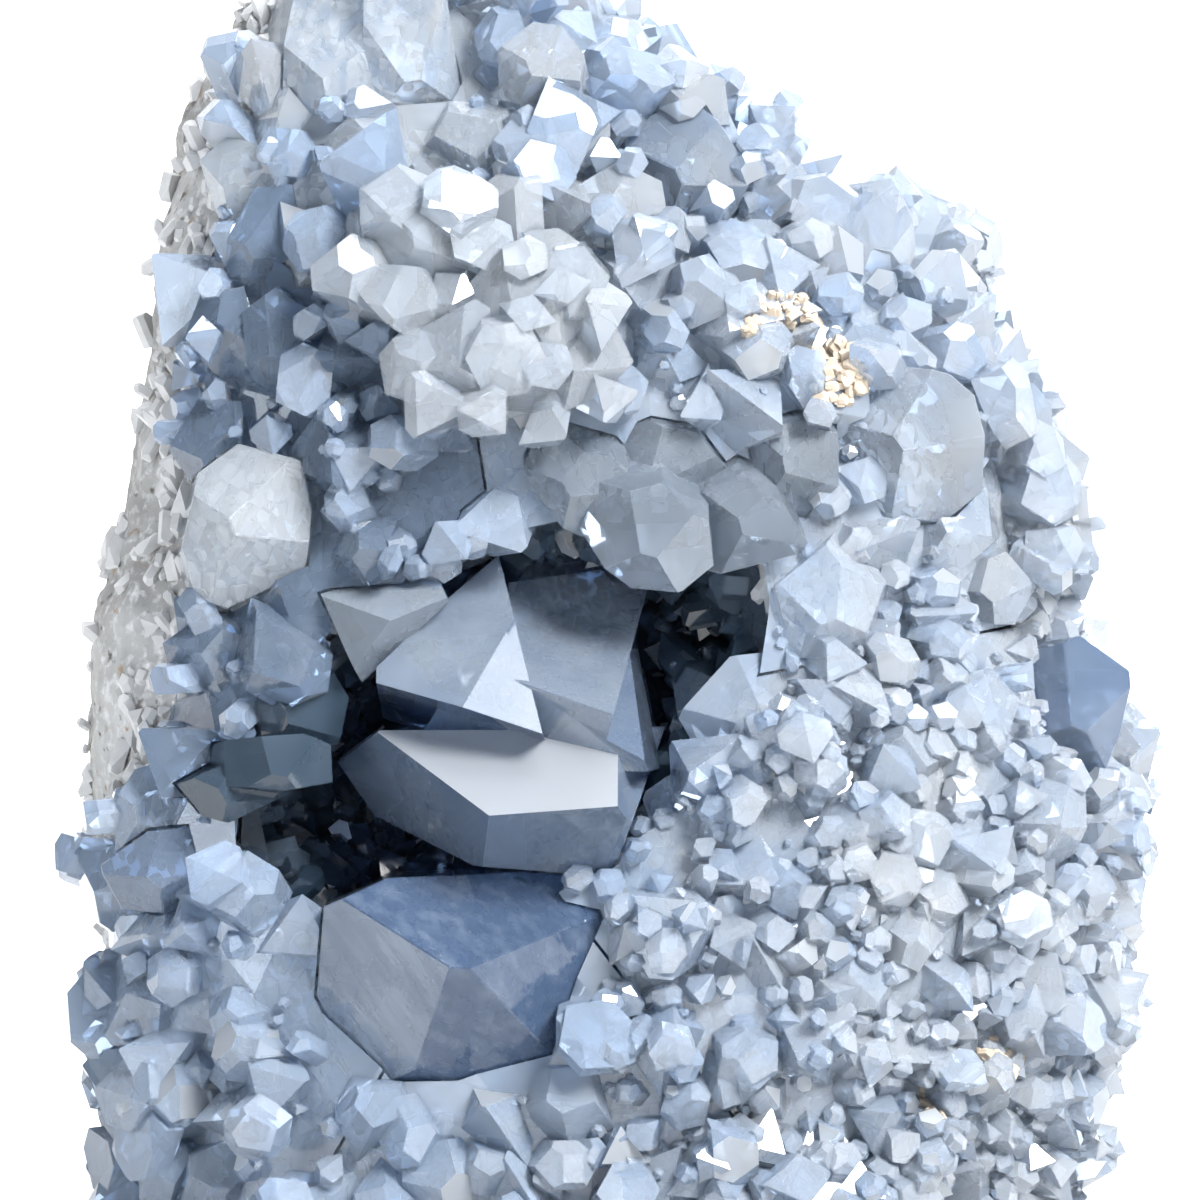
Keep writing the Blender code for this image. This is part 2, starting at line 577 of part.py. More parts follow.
def cell_planes(mass, by):
    """The part of the face nearer to this mass's middle than to any other's."""
    here = Vector((MASSES[mass][1][0], 0, MASSES[mass][1][1]))
    planes = box_planes((-80, -70, 3 * BELOW), (80, 70, 150))
    for name, (x, height) in MASSES:
        there = Vector((x, 0, height))
        if there != here:
            normal = (there - here).normalized()
            planes.append((normal, normal.dot((here + there) / 2) + by))
    return planes


def druse_crystals(large, dice):
    """Crystals scattered over the layer, as lists by mass."""
    spots, masses = [], [[] for _ in MASSES]
    for row in DRUSE_GEMS:
        x, height = (sum(point[k] for point in row[3]) / len(row[3]) for k in (0, 1))
        masses[mass_of(x, height)].append(gem(*row))
    gems = [crystal for mass in masses for crystal in mass]
    for k in range(RIM_CRYSTALS):
        turn = 2 * math.pi * (k + dice.uniform(0, 0.6)) / RIM_CRYSTALS
        offset = Vector((HOLLOW_REACH[0] * math.cos(turn), -RIM_DEPTH, HOLLOW_REACH[2] * math.sin(turn)))
        at = Vector(HOLLOW_AT) + Matrix.Rotation(HOLLOW_TILT, 3, "Y") @ offset
        if any(inside(at, crystal, 1.5) for crystal in large + gems):
            continue
        toward = Vector((-0.5 * math.cos(turn), -1.0, -0.5 * math.sin(turn)))
        width = dice.uniform(6.5, 9.5)
        length = width * dice.uniform(0.7, 1.0)
        masses[mass_of(at.x, at.z)].append(habit(at, toward, turn, width, length, dice, 3.0))
        spots.append(at)
    for _ in range(DRUSE_TRIES):
        angle, height = math.radians(dice.uniform(-180, 14)), dice.uniform(1, 134)
        at = layer_point(angle, height)
        spacing = interpolate(DRUSE_SPACING, height, 1) * dice.uniform(0.85, 1.2)
        apart = spacing * (FLANK_SPREAD if angle > DRUSE_FLANK else 1.0)
        if layer_thickness(angle, height) < LAYER * 0.45 or in_hollow(at, -1.0):
            continue
        if any((at - other).length < apart for other in spots):
            continue
        if any(inside(at, crystal, 2.0) for crystal in large + gems):
            continue
        spots.append(at)
        away = outward(angle, height)
        toward = away + 0.4 * Vector([dice.uniform(-1, 1) for _ in range(3)])
        width = spacing * dice.uniform(0.85, 1.25)
        length = DRUSE_ROOT + width * dice.uniform(0.25, 0.5)
        crystal = habit(at - away * DRUSE_ROOT, toward, dice.uniform(0, math.pi), width, length, dice)
        masses[mass_of(at.x, at.z)].append(crystal)
    return masses


def druse(masses, large):
    """The masses of the druse, each cut around the larger crystals and the masses before it."""
    earlier, slabs = [], []
    for mass, (name, _) in enumerate(MASSES):
        body = shell(name, layer_point, 0.0, BELOW)
        combine(body, "INTERSECT", [Crystal(cell_planes(mass, -GAP / 2)).made()])
        combine(body, "DIFFERENCE", [hollow("mouth", 0.0)])
        combine(body, "UNION", [crystal.made() for crystal in masses[mass]])
        tools = [shell("bed", rock_point, ROCK_CLEARANCE, BELOW), box("below", (-90, -90, -40), (90, 90, 0))]
        deep = hollow("deep", 0.5)
        combine(deep, "DIFFERENCE", [box("front", (-90, -90, -10), (90, CRUST_MOUTH - GAP - 0.2, 150))])
        tools.append(deep)
        tools += sockets(large + earlier, body)
        for other in slabs:
            slab = shell("slab", layer_point, GAP, BELOW)
            combine(slab, "INTERSECT", [Crystal(cell_planes(other, GAP / 2)).made()])
            combine(slab, "DIFFERENCE", [hollow("mouth", -GAP)])
            tools.append(slab)
        combine(body, "DIFFERENCE", tools)
        keep_largest(body)
        earlier += masses[mass]
        slabs.append(mass)


def cavity_crust(large, dice):
    """The dark crystals that line the hollow, with the skin that they grow from."""
    body = hollow("cavity_crust", -ROCK_CLEARANCE)
    combine(body, "DIFFERENCE", [hollow("inner", -ROCK_CLEARANCE - CRUST)])
    crystals = []
    while len(crystals) < CRUST_CRYSTALS:
        away = Vector([dice.gauss(0, 1) for _ in range(3)]).normalized()
        reach = Vector([away[k] * (HOLLOW_REACH[k] - CRUST - 1) for k in range(3)])
        at = Vector(HOLLOW_AT) + Matrix.Rotation(HOLLOW_TILT, 3, "Y") @ reach
        if at.y > CRUST_MOUTH and not any(inside(at, crystal, 1.0) for crystal in large):
            wander = Vector([dice.uniform(-1, 1) for _ in range(3)])
            toward = (Vector(HOLLOW_AT) - at).normalized() + 0.4 * wander
            width = dice.uniform(4.5, 8)
            length = width * dice.uniform(0.5, 0.8)
            crystals.append(habit(at, toward, dice.uniform(0, math.pi), width, length, dice))
    combine(body, "UNION", [crystal.made() for crystal in crystals])
    combine(body, "INTERSECT", [hollow("outer", -ROCK_CLEARANCE - 0.1)])
    tools = [box("front", (-90, -90, -10), (90, CRUST_MOUTH, 150))] + sockets(large, body)
    combine(body, "DIFFERENCE", tools)
    keep_largest(body)


def matrix(rooted):
    body = shell("matrix", rock_point)
    combine(body, "DIFFERENCE", [hollow("cavity", 0.0)] + sockets(rooted, body, ROCK_CLEARANCE))
    keep_largest(body)


def large_crystals():
    """Builds the large crystals, each node cut around the ones before it, and lists all and the rooted."""
    groups = [("centre_crystals", centre_crystals()),
              ("lower_crystal", [faceted(LOWER_HEART, LOWER, LOWER_FACETS, LOWER_SIDES, LOWER_ROOT)])]
    for name, rows in LARGE.items():
        groups.append((name, [gem(*row, root=ROOTS.get(name, 15.0)) for row in rows]))
    large, rooted = [], []
    for name, crystals in groups:
        body = joined(name, crystals)
        tools = sockets(large, body)
        if name in ROOTED:
            rooted += crystals
        else:
            tools.append(shell("bed", rock_point, ROCK_CLEARANCE, BELOW))
        combine(body, "DIFFERENCE", tools)
        keep_largest(body)
        large += crystals
    return large, rooted


def material(name, colour, roughness):
    made = bpy.data.materials.new(name)
    made.use_nodes = True
    shader = made.node_tree.nodes["Principled BSDF"]
    shader.inputs["Base Color"].default_value = (*colour, 1.0)
    shader.inputs["Roughness"].default_value = roughness
    shader.inputs["Metallic"].default_value = 0.0
    return made


def paint():
    """One material for each kind of surface."""
    kinds = {
        "rock": material("geode_rock", (0.52, 0.51, 0.50), 0.85),
        "dark": material("dark_celestite", (0.16, 0.21, 0.28), 0.3),
        "druse": material("druse_celestite", (0.62, 0.72, 0.83), 0.3),
        "clear": material("clear_celestite", (0.55, 0.66, 0.78), 0.15),
    }
    for body in bpy.data.objects:
        if body.name == "matrix":
            kind = "rock"
        elif body.name in DARK:
            kind = "dark"
        elif body.name.endswith("_druse"):
            kind = "druse"
        else:
            kind = "clear"
        body.data.materials.clear()
        body.data.materials.append(kinds[kind])


def centre_everything():
    """Moves the middle of the footprint's box to the origin."""
    corners = [vertex.co for body in bpy.data.objects for vertex in body.data.vertices]
    middle = [(min(c[k] for c in corners) + max(c[k] for c in corners)) / 2 for k in (0, 1)]
    for body in bpy.data.objects:
        body.data.transform(Matrix.Translation((-middle[0], -middle[1], 0)))


def main():
    for old in list(bpy.data.objects):
        bpy.data.objects.remove(old)
    dice = random.Random(SEED)
    large, rooted = large_crystals()
    druse(druse_crystals(large, dice), large)
    cavity_crust(large, dice)
    matrix(rooted)


if __name__ == "__main__":
    main()
    centre_everything()
    paint()
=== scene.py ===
"""The looks of a celestite geode piece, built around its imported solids. Metres, +Z up."""

import math
import random

import bmesh
import bpy
import numpy as np
from mathutils import Matrix, Vector, noise
from mathutils.bvhtree import BVHTree
from mathutils.kdtree import KDTree


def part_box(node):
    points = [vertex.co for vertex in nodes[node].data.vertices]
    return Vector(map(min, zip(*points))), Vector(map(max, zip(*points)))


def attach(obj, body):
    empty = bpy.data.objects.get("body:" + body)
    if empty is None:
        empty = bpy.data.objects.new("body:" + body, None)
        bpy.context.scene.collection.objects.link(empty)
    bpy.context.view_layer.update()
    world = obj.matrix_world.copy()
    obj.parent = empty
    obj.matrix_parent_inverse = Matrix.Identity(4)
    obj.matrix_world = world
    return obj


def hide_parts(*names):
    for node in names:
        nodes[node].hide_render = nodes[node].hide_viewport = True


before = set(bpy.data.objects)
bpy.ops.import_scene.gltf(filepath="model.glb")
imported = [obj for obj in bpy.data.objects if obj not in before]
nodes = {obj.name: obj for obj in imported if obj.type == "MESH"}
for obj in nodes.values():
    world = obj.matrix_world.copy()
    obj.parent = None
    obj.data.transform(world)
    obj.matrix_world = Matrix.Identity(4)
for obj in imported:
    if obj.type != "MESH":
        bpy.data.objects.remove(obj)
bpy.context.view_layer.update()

MM = 0.001
FLAT = math.radians(1.0)  # faces that meet at less than this are one facet
dice = random.Random(11)

# The camera of the photograph: a level look along +Y, 1 mm to 10 of its 1200 pixels at the middle
PICTURE = 1200
SENSOR = 36.0
LENS = 270.0
CAMERA_AT = Vector((-0.00214, -0.8991, 0.0625))

DRUSE = [name for name in nodes if name.endswith("_druse")]
# the nodes in the hollow, which get painted shade
DARK = ["cavity_crust", "cave_crystal", "ledge_crystals"]
CLEAR = [name for name in nodes if name not in DRUSE + DARK + ["matrix"]]


def welded(names):
    """One bmesh of several nodes, with their corners merged."""
    mesh = bmesh.new()
    for name in names:
        mesh.from_mesh(nodes[name].data)
    bmesh.ops.remove_doubles(mesh, verts=mesh.verts, dist=1e-6)
    bmesh.ops.recalc_face_normals(mesh, faces=mesh.faces)
    return mesh


def tree_of(names):
    """A tree of several nodes' faces, for rays and nearest points."""
    mesh = welded(names)
    tree = BVHTree.FromBMesh(mesh)
    mesh.free()
    return tree


rock_tree = tree_of(["matrix"])
crystal_tree = tree_of([name for name in nodes if name != "matrix"])
large_tree = tree_of(CLEAR + DARK[1:])
every_tree = tree_of(list(nodes))


def pixel_ray(px, py):
    """The direction of a pixel of the photograph from the camera."""
    side = SENSOR / LENS / PICTURE
    return Vector(((px - PICTURE / 2) * side, 1.0, (PICTURE / 2 - py) * side)).normalized()


def at_pixel(px, py):
    """Where that pixel's ray first meets the object."""
    return every_tree.ray_cast(CAMERA_AT, pixel_ray(px, py))[:2]


# ---- materials


class Nodes:
    """Adds shader nodes and links by short calls."""

    def __init__(self, name):
        self.material = bpy.data.materials.new(name)
        self.material.use_nodes = True
        self.tree = self.material.node_tree
        self.shader = self.tree.nodes["Principled BSDF"]
        self.output = self.tree.nodes["Material Output"]

    def add(self, kind, values=None, **settings):
        node = self.tree.nodes.new(kind)
        for key, value in settings.items():
            setattr(node, key, value)
        for key, value in (values or {}).items():
            self.set(node, key, value)
        return node

    def set(self, node, key, value):
        if isinstance(value, bpy.types.NodeSocket):
            self.tree.links.new(value, node.inputs[key])
        else:
            node.inputs[key].default_value = value

    def place(self, stretch=(1, 1, 1), tilt=0.0):
        """Object coordinates, drawn out by stretch along axes that are tilted about Y."""
        coords = self.add("ShaderNodeTexCoord").outputs["Object"]
        values = {"Vector": coords, "Rotation": (0, tilt, 0), "Scale": stretch}
        return self.add("ShaderNodeMapping", values, vector_type="TEXTURE").outputs[0]

    def noise(self, size, detail=3.0, stretch=(1, 1, 1), tilt=0.0):
        values = {"Vector": self.place(stretch, tilt), "Scale": 1 / size, "Detail": detail, "Roughness": 0.55}
        return self.add("ShaderNodeTexNoise", values).outputs["Fac"]

    def ramp(self, value, low, high, first=0.0, last=1.0):
        values = {"Value": value, "From Min": low, "From Max": high, "To Min": first, "To Max": last}
        return self.add("ShaderNodeMapRange", values).outputs[0]

    def total(self, one, two):
        return self.add("ShaderNodeMath", {0: one, 1: two}, operation="ADD", use_clamp=True).outputs[0]

    def mix(self, share, one, two):
        node = self.add("ShaderNodeMix", data_type="RGBA")
        self.set(node, 0, share)
        for slot, value in ((6, one), (7, two)):
            self.set(node, slot, value if isinstance(value, bpy.types.NodeSocket) else (*value, 1.0))
        return node.outputs[2]

    def bump(self, height, strength, distance):
        node = self.add("ShaderNodeBump", {"Height": height, "Strength": strength, "Distance": distance})
        self.set(self.shader, "Normal", node.outputs[0])


# the nearly white colour of a frosted facet: a painted glint
FROST_AND_GLINT_COLOUR = (0.84, 0.90, 0.97)
CELESTITE_IOR = 1.62
GLOSSY, FROSTY = 0.05, 0.28  # roughness of a plain and of a frosted facet
CLOUD = 0.008  # metres, the size of the cloudy patches
STREAK = 0.0012  # metres, the width of the streaks


def celestite(name, pale, deep, transmission, absorb, density, cloud=0.35, streak=(0.0, 1.0, 0.0)):
    """Clear to cloudy blue crystal.

    Each facet's tone value makes it paler, partly its own tone and partly painted light and shade, and its
    frost value makes it rough and nearly white, the roughness real and the whiteness a painted glint. A
    streak is its strength, how many times longer than wide it is, and its tilt.
    """
    made = Nodes(name)
    tint = made.add("ShaderNodeAttribute", attribute_name="tint").outputs["Fac"]
    frost_and_glint = made.add("ShaderNodeAttribute", attribute_name="frost_and_glint").outputs["Fac"]
    # each facet's own tone with its painted light and shade, and the clouds
    share = made.total(tint, made.ramp(made.noise(CLOUD, 2.0), 0.35, 0.75, 0.0, cloud))
    strength, drawn, tilt = streak
    if strength:
        lines = made.noise(STREAK, 3.0, (1, 1, drawn), tilt)
        share = made.total(share, made.ramp(lines, 0.35, 0.65, -strength, strength))
        made.bump(lines, 0.3, 0.0001)
    colour = made.mix(share, deep, pale)
    # painted glint: frosted facets turn nearly white
    made.set(made.shader, "Base Color", made.mix(frost_and_glint, colour, FROST_AND_GLINT_COLOUR))
    made.set(made.shader, "Roughness", made.ramp(frost_and_glint, 0.0, 1.0, GLOSSY, FROSTY))
    made.set(made.shader, "IOR", CELESTITE_IOR)
    made.set(made.shader, "Transmission Weight", transmission)
    volume = made.add("ShaderNodeVolumeAbsorption", {"Color": (*absorb, 1.0), "Density": density})
    made.set(made.output, "Volume", volume.outputs[0])
    return made.material


BACK_PAINTED_SHADE = (0.55, 0.54, 0.52)  # painted shade: the bare rock behind is darkened by this, against the whitened rim in front
BACK_FROM, BACK_TO = -0.012, 0.012  # metres of depth, over which one becomes the other


def rock_material():
    """Grey granular rind with whitish grains, brown specks and dark pits, with painted shade on its back."""
    made = Nodes("rind")
    grain = made.noise(0.0011, 5.0)
    patch = made.ramp(made.noise(0.012, 4.0), 0.4, 0.62)
    colour = made.mix(patch, (0.36, 0.355, 0.35), (0.56, 0.56, 0.555))
    colour = made.mix(made.ramp(grain, 0.5, 0.72), colour, (0.78, 0.785, 0.79))
    specks = made.ramp(made.noise(0.0026, 3.0), 0.62, 0.70)
    colour = made.mix(specks, colour, (0.36, 0.27, 0.19))
    pits = made.ramp(made.noise(0.0016, 2.0), 0.36, 0.28)
    colour = made.mix(pits, colour, (0.16, 0.145, 0.13))
    # painted shade: darker towards the back
    depth = made.add("ShaderNodeSeparateXYZ", {0: made.place()}).outputs[1]
    painted_shade_colour = made.add("ShaderNodeVectorMath", {0: colour, 1: BACK_PAINTED_SHADE}, operation="MULTIPLY").outputs[0]
    colour = made.mix(made.ramp(depth, BACK_FROM, BACK_TO), colour, painted_shade_colour)
    made.set(made.shader, "Base Color", colour)
    made.set(made.shader, "Roughness", 0.85)
    made.bump(grain, 0.6, 0.0004)
    return made.material


def plain(name, colour, roughness, spread=0.15):
    """One colour that varies a little in lightness."""
    made = Nodes(name)
    dark = tuple(c * (1 - spread) for c in colour)
    made.set(made.shader, "Base Color", made.mix(made.noise(0.0015), dark, colour))
    made.set(made.shader, "Roughness", roughness)
    return made.material


SLANT, UPRIGHT = math.radians(-38), 0.06  # tilts of the streaks

# Each look: name, paler and deeper colour, transmission, absorption colour and density, clouds, streaks
DEEP_LOOK = celestite(
    "deep_blue", (0.70, 0.80, 0.92), (0.28, 0.39, 0.58), 0.74, (0.34, 0.54, 0.80), 30)
SMOKY_LOOK = celestite(
    "veined_blue", (0.56, 0.68, 0.85), (0.12, 0.19, 0.33), 0.66, (0.34, 0.54, 0.80), 30, 0.4,
    (0.16, 6.0, SLANT))
CLEAR_LOOK = celestite(
    "clear_blue", (0.90, 0.95, 1.0), (0.58, 0.71, 0.90), 0.80, (0.42, 0.64, 0.92), 25, 0.6)
BRIGHT_LOOK = celestite(
    "bright_blue", (0.96, 0.98, 1.0), (0.78, 0.86, 0.96), 0.76, (0.50, 0.72, 0.94), 20, 0.6)
GREY_LOOK = celestite(
    "grey_blue", (0.68, 0.74, 0.81), (0.38, 0.45, 0.54), 0.76, (0.48, 0.60, 0.76), 35)
DRUSE_LOOK = celestite(
    "pale_blue", (0.94, 0.97, 1.0), (0.60, 0.74, 0.94), 0.74, (0.46, 0.68, 0.94), 25, 0.5)
SHADE_LOOK = celestite(
    "shaded_blue", (0.72, 0.80, 0.90), (0.32, 0.42, 0.57), 0.76, (0.34, 0.54, 0.78), 40, 0.5)
COLUMN_LOOK = celestite(
    "column_blue", (0.92, 0.96, 1.0), (0.60, 0.71, 0.86), 0.76, (0.46, 0.66, 0.90), 20, 0.5,
    (0.35, 12.0, UPRIGHT))
# painted shade: a dark material for the crystals in the hollow
CAVE_SHADE_LOOK = celestite(
    "cave_shade_blue", (0.24, 0.31, 0.40), (0.06, 0.10, 0.15), 0.60, (0.22, 0.34, 0.50), 120)
RIND_LOOK = plain("rind_mineral", (0.74, 0.74, 0.74), 0.5, 0.35)
ROCK_LOOK = rock_material()
TAN_LOOK = plain("tan_mineral", (0.50, 0.42, 0.33), 0.7)


# ---- crystal shapes

# Directions of the faces of a crystal whose length is Z
PRISM = ((0.615, 0.789, 0), (-0.615, 0.789, 0), (0.615, -0.789, 0), (-0.615, -0.789, 0))
PINACOID = ((1, 0, 0), (-1, 0, 0))
DOME = ((0.773, 0, 0.635), (-0.773, 0, 0.635))
WEDGE = ((0, 0.6155, 0.788), (0, -0.6155, 0.788))
SHAPES = 14  # how many crystal shapes the small crystals are copied from
FROST_AND_GLINT_SHARE = 0.06  # the share of facets that are frosted: rough, with a painted glint
LARGE_FACET = 14.0 * MM * MM  # only the named facets of the solids above this size are frosted and get the painted glint
FACET = 0.11  # how much paler or deeper one facet is than its crystal


SAME = 1e-4  # corners nearer than this are one, in crystals about 1 wide


def convex(planes):
    """Corners and outward faces of the convex body inside planes of (normal, distance)."""
    normals = np.array([n for n, _ in planes], float)
    reaches = np.array([d for _, d in planes], float)
    corners = []
    for i in range(len(planes)):
        for j in range(i + 1, len(planes)):
            for k in range(j + 1, len(planes)):
                three = normals[[i, j, k]]
                if abs(np.linalg.det(three)) < SAME:
                    continue
                point = np.linalg.solve(three, reaches[[i, j, k]])
                if (normals @ point <= reaches + 1e-6).all():
                    if not any(np.abs(point - other).max() < SAME for other in corners):
                        corners.append(point)
    faces = []
    for normal, reach in zip(normals, reaches):
        on = [k for k, point in enumerate(corners) if abs(normal @ point - reach) < SAME]
        if len(on) > 2:
            middle = sum(corners[k] for k in on) / len(on)
            side = corners[on[0]] - middle
            other = np.cross(normal, side)
            on.sort(key=lambda k: math.atan2((corners[k] - middle) @ other, (corners[k] - middle) @ side))
            faces.append(on)
    return np.array(corners), faces


def crystal_shape():
    """A crystal about 1 wide whose tip is 1 above its root's plane."""
    planes = [(n, 0.42 * dice.uniform(0.85, 1.12)) for n in PRISM]
    planes += [(n, dice.uniform(0.56, 0.74)) for n in DOME]
    if dice.random() < 0.5:
        planes += [(n, dice.uniform(0.62, 0.78)) for n in WEDGE]
    if dice.random() < 0.7:
        planes += [(n, dice.uniform(0.36, 0.5)) for n in PINACOID]
    if dice.random() < 0.5:
        planes.append(((0, 0, 1), dice.uniform(0.62, 0.85)))
    planes.append(((0, 0, -1), 0.35))
    points, faces = convex(planes)
    points[:, 2] *= np.where(points[:, 2] > 0, 1 / points[:, 2].max(), 1.0)
    return points, faces


shapes = [crystal_shape() for _ in range(SHAPES)]


def link(name, points, faces, look, replaces=()):
    """A named piece of the object from points and faces."""
    mesh = bpy.data.meshes.new(name)
    mesh.from_pydata(points, [], faces)
    mesh.materials.append(look)
    piece = bpy.data.objects.new(name, mesh)
    bpy.context.scene.collection.objects.link(piece)
    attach(piece, "root")
    if replaces:
        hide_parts(*replaces)
    return piece


def wander():
    """A random offset to a direction."""
    return Vector([dice.uniform(-1, 1) for _ in range(3)])


class Growth:
    """Crystals that become one joined mesh."""

    def __init__(self):
        self.points, self.faces, self.tints, self.count = [], [], [], 0

    def add(self, at, toward, width, length, tint=0.0):
        shape, faces = shapes[dice.randrange(SHAPES)]
        turn = toward.normalized().to_track_quat("Z", "Y").to_matrix()
        turn = turn @ Matrix.Rotation(dice.uniform(0, math.pi), 3, "Z")
        size = np.array((width, width * dice.uniform(0.75, 1.0), length))
        self.points.append((shape * size) @ np.array(turn.transposed()) + np.array(at))
        self.faces += [[k + self.count for k in face] for face in faces]
        self.tints += [tint + dice.uniform(-FACET, FACET) for _ in faces]
        self.count += len(shape)

    def piece(self, name, look, slot):
        """The joined mesh, with nothing below the floor."""
        points = np.concatenate(self.points)
        points[:, 2] = np.maximum(points[:, 2], 0.0)
        made = link(name, points, self.faces, look)
        made.data.attributes.new("tint", "FLOAT", "FACE").data.foreach_set("value", self.tints)
        # random facets that are frosted: rough, with a painted glint
        frosted = [float(dice.random() < FROST_AND_GLINT_SHARE) for _ in self.faces]
        made.data.attributes.new("frost_and_glint", "FLOAT", "FACE").data.foreach_set("value", frosted)
        return made


def surface_points(names, spacing, tries):
    """Spread points on the faces of nodes, each with its normal and its whole facet's area."""
    mesh = welded(names)
    bmesh.ops.dissolve_limit(mesh, angle_limit=FLAT, verts=mesh.verts, edges=mesh.edges)
    whole = mesh.faces.layers.float.new("whole")
    for face in mesh.faces:
        face[whole] = face.calc_area()
    bmesh.ops.triangulate(mesh, faces=mesh.faces)
    faces = [f for f in mesh.faces if f.calc_area() > 0]
    total = np.cumsum([f.calc_area() for f in faces])
    kept, cells = [], {}
    for _ in range(tries):  # each try keeps its point unless one is already near
        face = faces[int(np.searchsorted(total, dice.random() * total[-1]))]
        a, b = dice.random(), dice.random()
        if a + b > 1:
            a, b = 1 - a, 1 - b
        one, two, three = (v.co for v in face.verts)
        point = one + a * (two - one) + b * (three - one)
        cell = tuple(int(c // spacing) for c in point)
        near = (cells.get((cell[0] + i, cell[1] + j, cell[2] + k), ()) for i in (-1, 0, 1) for j in (-1, 0, 1)
                for k in (-1, 0, 1))
        if any((point - other).length < spacing for group in near for other in group):
            continue
        cells.setdefault(cell, []).append(point)
        kept.append((point, face.normal.copy(), face[whole]))
    mesh.free()
    return kept


def height_over_rock(point):
    """How far the point is from the rock."""
    return rock_tree.find_nearest(point)[3]


def away_from_rock(point):
    near = rock_tree.find_nearest(point)[0]
    return (point - near).normalized()


# How far the crystals of the solids reach above the rock, all over
reach_points = []
for name in DRUSE + CLEAR:
    mesh = welded([name])
    reach_points += [v.co.copy() for v in mesh.verts]
    mesh.free()
reach_heights = [height_over_rock(point) for point in reach_points]
reach_tree = KDTree(len(reach_points))
for k, point in enumerate(reach_points):
    reach_tree.insert(point, k)
reach_tree.balance()


def room_above(point, height, radius):
    """How much higher than this the solids' crystals reach nearby."""
    tops = [reach_heights[k] for _, k, _ in reach_tree.find_range(point, radius)]
    return max(tops, default=height) - height


BED = 6.2 * MM  # the bare layer between the solids' crystals is no higher than this
BROAD = 30.0 * MM * MM  # facets larger than this are parts of the bare layer too
CLEAN_FACET = 7.0 * MM * MM  # nothing grows on other facets larger than this ...
CLEAN_ROOM = 3.2 * MM  # ... that are this near to the tips
BARE_ROOM = 2.2 * MM  # crystals on the bare layer are at least allowed this height
ROOT_HEIGHT = 1.6 * MM  # crystals root no nearer to the rock than this
FLOOR_GAP = 0.3 * MM  # or to the floor
LIFT = 2e-5  # metres that a ray starts off the surface
CRYSTAL_FREE, CRUST_FREE = 0.9 * MM, 1.5 * MM  # how far a root's ray has to run free

# The hollow's mouth: middle, half sizes and tilt
MOUTH_AT = Vector((-0.01164, -0.0181, 0.0505))
MOUTH_REACH = (0.0295, 0.031, 0.0172)
MOUTH_TURN = Matrix.Rotation(math.radians(31), 3, "Y")
# The crystal at the hollow's left end, dark with painted shade, as the photo shows it: middle sideways and
# up, and half sizes, all for each metre of depth
CAVE = (-0.0345, -0.0323, 0.0075, 0.0085)


def in_mouth(point):
    """Whether the point is in the hollow's mouth, which nothing small grows into."""
    turned = MOUTH_TURN @ (point - MOUTH_AT)
    return sum((turned[k] / MOUTH_REACH[k]) ** 2 for k in range(3)) < 1


def painted_light_and_shade(point):
    """How much paler crystals are painted here: painted shade in the shaded upper left, painted light on the
    lit right.
    """
    shaded = max(0.0, 1 - ((point.x + 0.032) / 0.018) ** 2 - ((point.z - 0.088) / 0.022) ** 2)
    return min(0.3, max(-0.2, point.x / 0.12)) - 0.7 * shaded


def between(point, fine, coarse):
    """One value for the small-grained lower right, another elsewhere."""
    right = min(1.0, max(0.0, (point.x + 0.012) / 0.012))
    low = min(1.0, max(0.0, (0.068 - point.z) / 0.012))
    return coarse + (fine - coarse) * right * low


def in_cave(point):
    """Whether the photo would show the point in front of that crystal with painted shade."""
    depth = point.y - CAMERA_AT.y
    side, up = (point.x - CAMERA_AT.x) / depth, (point.z - CAMERA_AT.z) / depth
    return ((side - CAVE[0]) / CAVE[2]) ** 2 + ((up - CAVE[1]) / CAVE[3]) ** 2 < 1


def scatter(names, spacing, tries, width, room_radius, skip_tips, shares, aside):
    """Crystals on the bare layer and flanks of the nodes, up to about the tips around them.

    shares are those of the points that are kept in the lower right and elsewhere, and aside is how many
    widths a crystal stays away from the large ones.
    """
    growth = Growth()
    for point, normal, area in surface_points(names, spacing, tries):
        height = height_over_rock(point)
        if dice.random() > between(point, *shares):
            continue
        if height < ROOT_HEIGHT or point.z < FLOOR_GAP:
            continue
        if every_tree.ray_cast(point + normal * LIFT, normal, CRYSTAL_FREE)[0] is not None:
            continue
        out = away_from_rock(point)
        if out.dot(normal) < -0.2:
            continue
        room = room_above(point, height, room_radius)
        if CLEAN_FACET < area < BROAD and room < CLEAN_ROOM:
            continue
        if height < BED or area > BROAD:
            room = max(room, BARE_ROOM)
        if room < skip_tips or in_mouth(point) or in_cave(point):
            continue
        wide = dice.uniform(*width) * dice.uniform(0.8, 1.15) * between(point, 1.0, 1.2)
        if large_tree.find_nearest(point)[3] < aside * wide:
            continue
        long = min(wide * dice.uniform(0.5, 1.15), room * 0.95)
        toward = 0.7 * out + 0.5 * normal + 0.45 * wander()
        if point.z < wide * 0.6:
            toward.z = abs(toward.z)
        # a random tone, with painted light on the right and painted shade in the upper left
        growth.add(point, toward, wide, long, dice.uniform(-0.2, 0.2) + painted_light_and_shade(point))
    return growth


# ---- the rock

ROCK_VOXEL = 0.95 * MM
FOOT = 0.7 * MM  # the cut foot stays flat up to this height
COVERED, UNCOVERED = 0.6 * MM, 3.1 * MM  # distances from the crystals over which the roughness sets in
LUMP, GRAIN, FIBRE, FIBRE_LONG = 0.011, 0.0019, 0.0016, 0.006  # metres
LUMP_RISE, GRAIN_RISE, FIBRE_RISE, SINK = 0.9, 0.32, 0.45, 0.25  # millimetres


